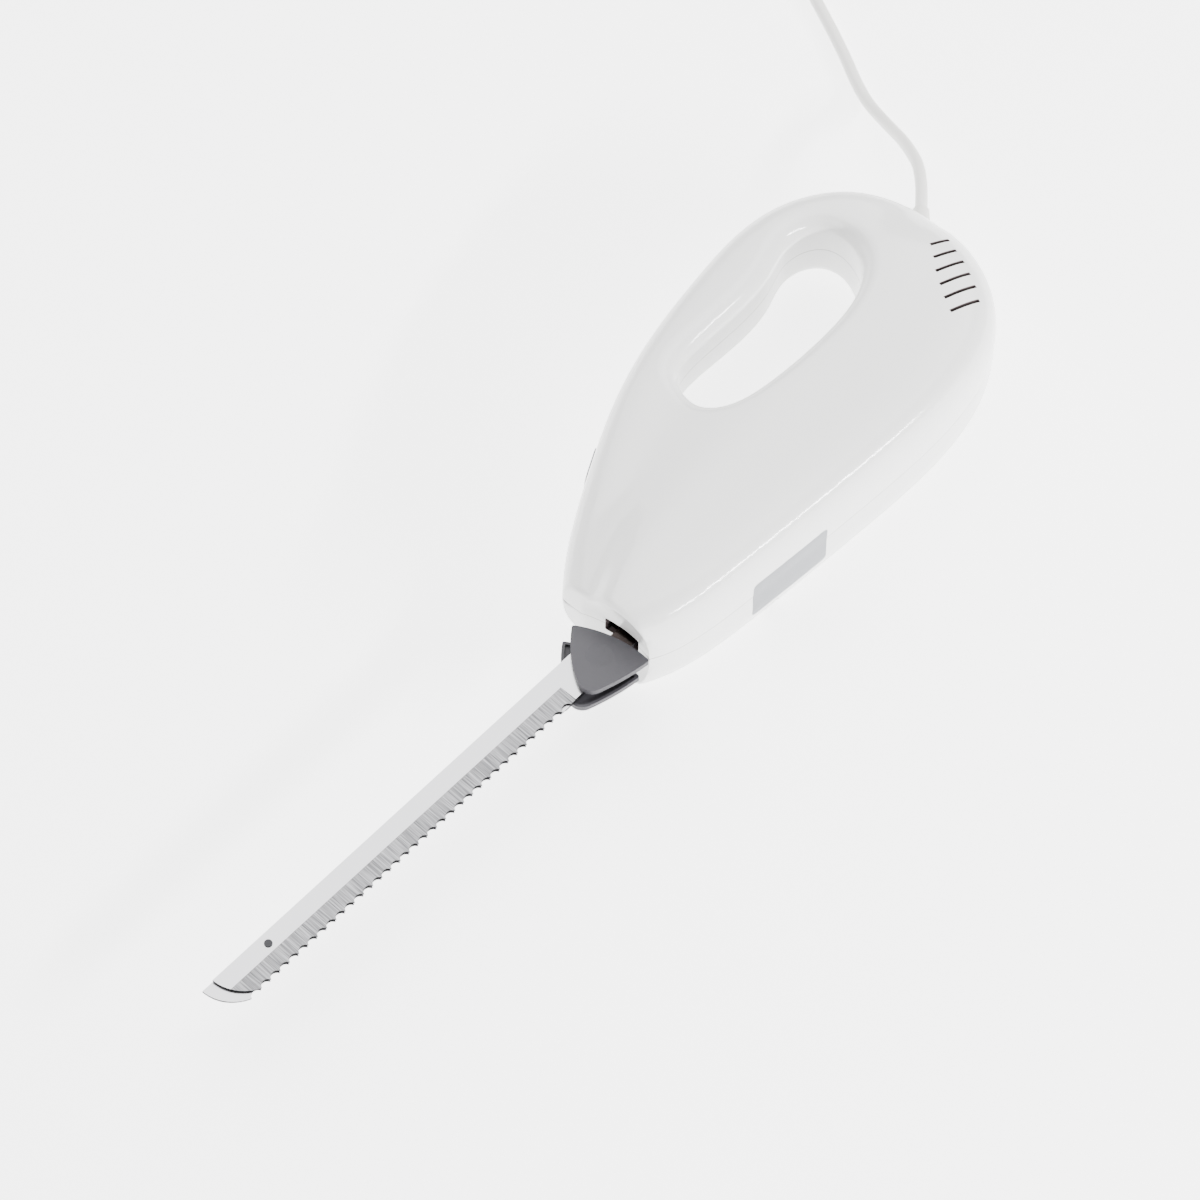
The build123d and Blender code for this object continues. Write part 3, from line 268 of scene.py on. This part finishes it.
# Windings. Enamelled copper wire about 0.3 mm thick, wound in tight rows and dipped in varnish, so
# the coils are a glossy red-brown. The rows are drawn 0.7 mm apart so that they show.
wound_copper, tree, shader, where = new_material("wound_enamelled_copper", {
    "Base Color": linear("#9A4F2A"), "Metallic": 0.7, "Roughness": 0.3,
})
rows = add_node(tree, "ShaderNodeTexWave", {
    "bands_direction": "DIAGONAL", "Scale": 520.0, "Distortion": 0.6, "Detail": 1.0,
}, Vector=where)
ramp = add_node(tree, "ShaderNodeValToRGB", Fac=rows.outputs["Fac"])
ramp.color_ramp.elements[0].color = linear("#6E3219")
ramp.color_ramp.elements[1].color = linear("#B4633A")
tree.links.new(ramp.outputs["Color"], shader.inputs["Base Color"])
bump = add_node(tree, "ShaderNodeBump", {
    "Strength": 0.6, "Distance": 0.1 * MM,
}, Height=rows.outputs["Fac"])
tree.links.new(bump.outputs["Normal"], shader.inputs["Normal"])
coat(wound_copper, "field_windings", "rotor_winding")

# Commutator. Drawn copper bars on a moulded hub, skimmed on the lathe to a bright face that the
# brushes have browned in patches of 2.5 mm.
skimmed_copper, tree, shader, where = new_material("skimmed_copper", {
    "Base Color": linear("#B87048"), "Metallic": 1.0, "Roughness": 0.3,
})
worn = add_node(tree, "ShaderNodeTexNoise", {"Scale": 400.0, "Detail": 3.0}, Vector=where)
ramp = add_node(tree, "ShaderNodeValToRGB", Fac=worn.outputs["Fac"])
ramp.color_ramp.elements[0].color = linear("#8A4E30")
ramp.color_ramp.elements[1].color = linear("#C98A62")
tree.links.new(ramp.outputs["Color"], shader.inputs["Base Color"])
coat(skimmed_copper, "commutator")

# Carbon brushes. Blocks of carbon pressed with copper dust and fired, held in the brush holders:
# matt black with paler grains of 0.25 mm.
fired_carbon, tree, shader, where = new_material("pressed_carbon", {
    "Base Color": linear("#1B1A1B"), "Roughness": 0.7,
})
dust = add_node(tree, "ShaderNodeTexNoise", {"Scale": 4000.0, "Detail": 2.0}, Vector=where)
ramp = add_node(tree, "ShaderNodeValToRGB", Fac=dust.outputs["Fac"])
ramp.color_ramp.elements[0].color = linear("#171617")
ramp.color_ramp.elements[1].color = linear("#332C29")
tree.links.new(ramp.outputs["Color"], shader.inputs["Base Color"])
coat(fired_carbon, "carbon_brushes")

# Motor brackets and their bushes. The brackets are die-cast zinc, pale grey with a mottle of 4 mm,
# held by the long motor bolts. The bushes are pressed and sintered bronze, soaked in oil, with pores
# drawn at 0.3 mm.
cast_zinc, tree, shader, where = new_material("die_cast_zinc", {
    "Base Color": linear("#9B9DA0"), "Metallic": 1.0, "Roughness": 0.48,
})
mottle = add_node(tree, "ShaderNodeTexNoise", {"Scale": 260.0, "Detail": 4.0}, Vector=where)
rough = add_node(tree, "ShaderNodeMapRange", {"To Min": 0.4, "To Max": 0.58}, Value=mottle.outputs["Fac"])
tree.links.new(rough.outputs["Result"], shader.inputs["Roughness"])
coat(cast_zinc, "front_bracket", "rear_bracket")
bronze, tree, shader, where = new_material("sintered_bronze", {
    "Base Color": linear("#8C6A42"), "Metallic": 1.0, "Roughness": 0.5,
})
pores = add_node(tree, "ShaderNodeTexNoise", {"Scale": 3500.0, "Detail": 2.0}, Vector=where)
bump = add_node(tree, "ShaderNodeBump", {
    "Strength": 0.3, "Distance": 0.1 * MM,
}, Height=pores.outputs["Fac"])
tree.links.new(bump.outputs["Normal"], shader.inputs["Normal"])
coat(bronze, "front_bush", "rear_bush", "shaft_bush")

# Motor bolts, clamp screws and housing screws. Headed from steel wire and zinc plated: a cool silver
# with a thin uneven bloom in spots of 1.4 mm.
zinc_plate, tree, shader, where = new_material("zinc_plated_steel", {
    "Base Color": linear("#B9BBBD"), "Metallic": 1.0, "Roughness": 0.34,
})
bloom = add_node(tree, "ShaderNodeTexNoise", {"Scale": 700.0, "Detail": 3.0}, Vector=where)
rough = add_node(tree, "ShaderNodeMapRange", {"To Min": 0.28, "To Max": 0.44}, Value=bloom.outputs["Fac"])
tree.links.new(rough.outputs["Result"], shader.inputs["Roughness"])
coat(zinc_plate, "motor_bolts", "clamp_screws", "housing_screws")

# Leads. Thin stranded wires in extruded PVC, brown from the cord and blue to the motor, laid in the
# handle by hand and crimped at their ends. A satin skin with a faint ripple of 0.8 mm.
for name, colour in (("supply_leads", "#6B4028"), ("motor_leads", "#2F5C94")):
    wire_skin, tree, shader, where = new_material(name + "_extruded_pvc", {
        "Base Color": linear(colour), "Roughness": 0.42, "IOR": 1.53,
    })
    ripple = add_node(tree, "ShaderNodeTexNoise", {"Scale": 1200.0, "Detail": 2.0}, Vector=where)
    bump = add_node(tree, "ShaderNodeBump", {
        "Strength": 0.1, "Distance": 0.1 * MM,
    }, Height=ripple.outputs["Fac"])
    tree.links.new(bump.outputs["Normal"], shader.inputs["Normal"])
    coat(wire_skin, name)

# Buttons. Moulded grey ABS, guided in slots of the housing: the power button under the thumb, and the
# blade release ahead of it. The mould is spark-eroded, which leaves fine pits of 0.3 mm.
eroded_abs, tree, shader, where = new_material("moulded_textured_abs", {
    "Base Color": linear("#5B5A5E"), "Roughness": 0.5, "IOR": 1.53,
})
pits = add_node(tree, "ShaderNodeTexNoise", {"Scale": 3000.0, "Detail": 2.0}, Vector=where)
bump = add_node(tree, "ShaderNodeBump", {
    "Strength": 0.25, "Distance": 0.1 * MM,
}, Height=pits.outputs["Fac"])
tree.links.new(bump.outputs["Normal"], shader.inputs["Normal"])
for name, body in (("power_button", "power_button_body"), ("release_button", "release_button_body")):
    cap = merged_copy(name, name + "_cap", body)
    cap.data.materials.append(eroded_abs)

# Mains cord. A round two-core lead with a soft off-white jacket, 5 mm thick. It leaves the rear of the
# handle, drops to the table and runs to a tied coil of seven turns in two layers, then to its plug. The
# lower layer winds inwards and the upper one outwards, as it is wound by hand.
jacket_radius = 2.5
# The table lies as far below the knife's middle plane as shift lifts that plane
table_height = -27.4513
lying = table_height + jacket_radius + 0.05
# The cord leaves through a sleeve that slopes up and back from the housing
exit_slope = math.radians(38)
exit_line = Vector((math.cos(exit_slope), math.sin(exit_slope), 0))
sleeve_root = Vector((224, 43, 0))
sleeve_length = 8
sleeve_mouth = Vector((
    sleeve_root.x + sleeve_length * math.cos(exit_slope),
    sleeve_root.y + sleeve_length * math.sin(exit_slope), 0,
))
# The coil has one turn's step between neighbours, both across a layer and between the two layers
coil_middle = Vector((350, 180, 0))
coil_low = lying + 1.0
turns = 7
turn_step = 5.6
inmost_reach = 17.5
first_angle = math.radians(150)
# A line of order 3 with 16 points a turn runs inside them, at this share of their reach
steps = 16
corner_cut = 0.981
coil_points = []
for step in range(1, turns * steps):
    wound = 2 * math.pi * step / steps
    past = wound - turns * math.pi
    reach = (inmost_reach + turn_step * abs(past) / (2 * math.pi)) / corner_cut
    climb = min(max(past / math.pi + 0.5, 0), 1)
    angle = first_angle - wound
    spot = Vector((math.cos(angle) * reach, math.sin(angle) * reach, coil_low + climb * turn_step))
    coil_points.append(coil_middle + spot)
# Where the cord runs into the coil and out of it to the plug, and its way there
coil_in = Vector((317.87, 198.55, coil_low))
coil_out = coil_in + Vector((0, 0, turn_step))
way_in = Vector((0.5206, 0.8538, 0))
way_out = Vector((0.479057, 0.877784, 0))
plug_height = table_height + 6.9
landed = coil_out + way_out * 40
landed.z = plug_height
route = [
    sleeve_mouth,
    sleeve_mouth + exit_line * 18,
    Vector((256.0, 77.0, -8.0)),
    Vector((264.5, 94.0, -18.5)),
    Vector((272.0, 114.0, lying)),
    Vector((286.0, 138.0, lying)),
    coil_in - way_in * 31,
    coil_in - way_in * 5,
] + coil_points + [
    coil_out + way_out * 4,
    coil_out + way_out * 14,
    landed - way_out * 14,
    landed,
    landed + way_out * 5,
]
line = bpy.data.curves.new("cord_lead_line", "CURVE")
line.dimensions = "3D"
strand = line.splines.new("NURBS")
strand.points.add(len(route) - 1)
for point, spot in zip(strand.points, route):
    point.co = (*((spot + shift) * MM), 1)
strand.order_u = 3
strand.use_endpoint_u = True
strand.resolution_u = 6
line.bevel_depth = jacket_radius * MM
line.bevel_resolution = 5
line.use_fill_caps = True
mains_cord = bpy.data.objects.new("mains_cord", line)
bpy.context.scene.collection.objects.link(mains_cord)

# Soft PVC, extruded: an even satin skin with the faintest ripple of 1 mm.
soft_pvc, tree, shader, where = new_material("extruded_soft_pvc", {
    "Base Color": linear("#DEDDDA"), "Roughness": 0.45, "IOR": 1.53,
})
ripple = add_node(tree, "ShaderNodeTexNoise", {"Scale": 900.0, "Detail": 3.0}, Vector=where)
bump = add_node(tree, "ShaderNodeBump", {
    "Strength": 0.08, "Distance": 0.1 * MM,
}, Height=ripple.outputs["Fac"])
tree.links.new(bump.outputs["Normal"], shader.inputs["Normal"])
line.materials.append(soft_pvc)
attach(mains_cord, "knife_body")
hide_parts("cord_lead", "cord_coil")
coat(soft_pvc, "cord_tail")

# Sleeve, plug, tie and clamp. The sleeve and the flat plug are soft PVC moulded onto the cord, the tie
# is a strip of the same round the coil, and the clamp is screwed down on the cord's tail inside the
# housing. Slightly duller than the jacket, with a grain of 0.5 mm.
moulded_pvc, tree, shader, where = new_material("moulded_soft_pvc", {
    "Base Color": linear("#DAD9D5"), "Roughness": 0.5, "IOR": 1.53,
})
skin = add_node(tree, "ShaderNodeTexNoise", {"Scale": 1800.0, "Detail": 2.0}, Vector=where)
bump = add_node(tree, "ShaderNodeBump", {
    "Strength": 0.1, "Distance": 0.1 * MM,
}, Height=skin.outputs["Fac"])
tree.links.new(bump.outputs["Normal"], shader.inputs["Normal"])
coat(moulded_pvc, "cord_sleeve", "mains_plug", "cord_tie", "cord_clamp")

# Plug pins. Turned from brass rod and nickel plated, then moulded into the plug: bright and faintly
# warm, with turning marks of 0.7 mm in their gloss.
nickel_plate, tree, shader, where = new_material("nickel_plated_brass", {
    "Base Color": linear("#C9C3B6"), "Metallic": 1.0, "Roughness": 0.2,
})
turned = add_node(tree, "ShaderNodeTexNoise", {"Scale": 1500.0, "Detail": 2.0}, Vector=where)
rough = add_node(tree, "ShaderNodeMapRange", {
    "To Min": 0.16, "To Max": 0.28,
}, Value=turned.outputs["Fac"])
tree.links.new(rough.outputs["Result"], shader.inputs["Roughness"])
coat(nickel_plate, "plug_pins")

# Housing. Two moulded shells of glossy off-white ABS, held by screws from the right side. Their
# parting line runs round the middle of the knife and across the wall of the finger opening: a grey
# groove 0.2 mm wide on each shell. The gloss changes a little in slow flow marks of 30 mm.
gloss_abs, tree, shader, where = new_material("moulded_gloss_abs", {
    "Base Color": linear("#E3E3E2"), "Roughness": 0.15, "IOR": 1.53,
})
flow = add_node(tree, "ShaderNodeTexNoise", {"Scale": 35.0, "Detail": 2.0}, Vector=where)
gloss = add_node(tree, "ShaderNodeMapRange", {"To Min": 0.13, "To Max": 0.17}, Value=flow.outputs["Fac"])
tree.links.new(gloss.outputs["Result"], shader.inputs["Roughness"])
split = add_node(tree, "ShaderNodeSeparateXYZ", Vector=where)
off = add_node(tree, "ShaderNodeMath", {
    "operation": "SUBTRACT", 1: shift.z * MM,
}, Value=split.outputs["Z"])
apart = add_node(tree, "ShaderNodeMath", {"operation": "ABSOLUTE"}, Value=off.outputs["Value"])
seam = add_node(tree, "ShaderNodeMapRange", {
    "From Min": 0.06 * MM, "From Max": 0.2 * MM,
}, Value=apart.outputs["Value"])
tone = add_node(tree, "ShaderNodeMix", {
    "data_type": "RGBA", COLOUR_A: linear("#8D8A88"), COLOUR_B: linear("#E3E3E2"),
}, Factor=seam.outputs["Result"])
tree.links.new(tone.outputs[COLOUR_OUT], shader.inputs["Base Color"])
bump = add_node(tree, "ShaderNodeBump", {
    "Strength": 0.6, "Distance": 0.2 * MM,
}, Height=seam.outputs["Result"])
tree.links.new(bump.outputs["Normal"], shader.inputs["Normal"])

# The same ABS inside the shells and in their slots: left dull by the mould, with tool marks of 3 mm,
# and coloured dark brown as painted shade, so it reads dark through the vents and the mouth.
shaded_inside_abs, tree, shader, where = new_material("moulded_abs_inside_painted_shade", {
    "Base Color": linear("#554A49"), "Roughness": 0.65, "IOR": 1.53,
})
marks = add_node(tree, "ShaderNodeTexNoise", {"Scale": 300.0, "Detail": 2.0}, Vector=where)
bump = add_node(tree, "ShaderNodeBump", {
    "Strength": 0.1, "Distance": 0.1 * MM,
}, Height=marks.outputs["Fac"])
tree.links.new(bump.outputs["Normal"], shader.inputs["Normal"])
# The screws' places, and the size of the pockets that they sit in on the right side
screw_places = [Vector(spot) for spot in (
    (17.06, 24.2), (63.24, -22.08), (87.59, 61.64), (166.3, 85.1), (182.0, -14.72),
)]
pocket_radius = 3.4
pocket_floor = -8.3
outside, inside = 0, 1
shells = []
for name in ("left_housing", "right_housing"):
    shell = merged_copy(name, name + "_shell", "knife_body")
    shell.data.materials.append(gloss_abs)
    shell.data.materials.append(shaded_inside_abs)
    side = 1 if name == "left_housing" else -1
    # Outer skin: all that joins smoothly to the widest face and to the bowl round the mouth
    seeds = [Vector((120, -5, side * 60)), Vector((2, 24, side * 12)), Vector((1.2, 8, side * 14))]
    for face in shell.data.polygons:
        face.select = False
        face.material_index = inside
    for seed in seeds:
        nearest_face = shell.closest_point_on_mesh((seed + shift) * MM)[3]
        shell.data.polygons[nearest_face].select = True
    bpy.ops.object.mode_set(mode="EDIT")
    bpy.ops.mesh.select_mode(type="FACE")
    bpy.ops.mesh.faces_select_linked_flat(sharpness=math.radians(32))
    shell.active_material_index = outside
    bpy.ops.object.material_slot_assign()
    bpy.ops.mesh.select_all(action="DESELECT")
    bpy.ops.object.mode_set(mode="OBJECT")
    # The pockets are moulded as smooth as the outside
    for face in shell.data.polygons:
        spot = face.center / MM - shift
        nearest = min((spot.xy - place).length for place in screw_places)
        if spot.z < pocket_floor and nearest < pocket_radius:
            face.material_index = outside
    shells.append(shell)

# Label. A blank film of silvered polyester, die-cut with round corners of 2 mm and stuck to the belly
# of the housing, across the parting line, so it is laid on both shells at once.
label_length = 39
label_width = 20.8
label_place = Vector((69, -45, -3.4))
# The film starts flat outside the belly, and is laid onto a joined copy of both shells
bpy.ops.object.select_all(action="DESELECT")
for shell in shells:
    shell.select_set(True)
bpy.context.view_layer.objects.active = shells[0]
bpy.ops.object.duplicate()
bpy.ops.object.join()
backing = bpy.context.object
bpy.ops.object.select_all(action="DESELECT")
below = (label_place + shift) * MM
bpy.ops.mesh.primitive_plane_add(size=1, location=below, rotation=(math.radians(90), 0, 0))
label = bpy.context.object
label.name = "blank_label"
label.scale = (label_length * MM, label_width * MM, 1)
bpy.ops.object.transform_apply(location=True, rotation=True, scale=True)
bpy.ops.object.mode_set(mode="EDIT")
bpy.ops.mesh.select_all(action="SELECT")
bpy.ops.mesh.bevel(offset=2 * MM, segments=6, affect="VERTICES")
bpy.ops.mesh.inset(thickness=0.6 * MM)
bpy.ops.mesh.poke()
bpy.ops.mesh.select_all(action="SELECT")
bpy.ops.mesh.quads_convert_to_tris()
bpy.ops.mesh.subdivide(number_cuts=6)
bpy.ops.object.mode_set(mode="OBJECT")
wrap = label.modifiers.new("lay on the belly", "SHRINKWRAP")
wrap.target = backing
wrap.wrap_method = "PROJECT"
wrap.use_project_y = True
wrap.use_positive_direction = True
wrap.use_negative_direction = False
wrap.offset = 0.06 * MM
bpy.ops.object.modifier_apply(modifier=wrap.name)
bpy.data.objects.remove(backing)

# Silvered polyester: a grey satin metal with a light haze in clouds of 2 mm.
film, tree, shader, where = new_material("die_cut_silvered_polyester", {
    "Base Color": linear("#7F8185"), "Metallic": 0.85, "Roughness": 0.36,
})
haze = add_node(tree, "ShaderNodeTexNoise", {"Scale": 500.0, "Detail": 2.0}, Vector=where)
rough = add_node(tree, "ShaderNodeMapRange", {"To Min": 0.32, "To Max": 0.42}, Value=haze.outputs["Fac"])
tree.links.new(rough.outputs["Result"], shader.inputs["Roughness"])
label.data.materials.append(film)
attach(label, "knife_body")

# Floor, sky and lamps. One sheet of white paper that glows like a light table, under a pale even sky.
# A broad lamp beyond the knife is what the blades mirror, a smaller one at the tips' side fills the
# shade, and a strip low on the near side draws the bright line along the housing's lower corner.


def hang_lamp(place, watts, length, width):
    """Hang an area lamp at a place, turned to the knife."""
    bpy.ops.object.light_add(type="AREA", location=place)
    lamp = bpy.context.object
    lamp.data.shape = "RECTANGLE"
    lamp.data.size = length
    lamp.data.size_y = width
    lamp.data.energy = watts
    lamp.rotation_euler = (-lamp.location).to_track_quat("-Z", "Y").to_euler()


bpy.ops.object.select_all(action="DESELECT")
bpy.ops.mesh.primitive_plane_add(size=12, location=(0, 0, -0.0002))
floor = bpy.context.object
floor.name = "paper_floor"
paper = new_material("white_paper", {
    "Base Color": linear("#F7F7F7"), "Roughness": 0.9,
    "Emission Color": (1, 1, 1, 1), "Emission Strength": 2.6,
})[0]
floor.data.materials.append(paper)
world = bpy.data.worlds.new("studio")
bpy.context.scene.world = world
world.use_nodes = True
sky = world.node_tree.nodes["Background"]
sky.inputs["Color"].default_value = (1, 1, 1, 1)
sky.inputs["Strength"].default_value = 0.8
hang_lamp((1.0, 0.95, 2.0), 160, 3.3, 3.3)
hang_lamp((-1.8, 0.4, 1.4), 20, 1.2, 1.2)
hang_lamp((0.36, -1.35, 0.6), 45, 0.9, 0.05)

# Camera. The knife lies on its right side and is seen from above the blade tips' side, 57 degrees up,
# through a long lens, so the blades run to the lower left and the handle to the upper right.
look_right = Vector((0.678, -0.7353, 0)).normalized()
look_ahead = Vector((-look_right.y, look_right.x, 0))
look_down = math.radians(57)
view_line = look_ahead * math.cos(look_down) - Vector((0, 0, 1)) * math.sin(look_down)
aim = (Vector((9.26, 16.7, 0)) + shift) * MM
camera_distance = 2.2
bpy.ops.object.camera_add(location=aim - view_line * camera_distance)
camera = bpy.context.object
camera.name = "camera"
camera.rotation_euler = view_line.to_track_quat("-Z", "Y").to_euler()
camera.data.sensor_width = 36
camera.data.lens = 174.6
camera.data.clip_start = 0.1
camera.data.clip_end = 30
bpy.context.scene.camera = camera
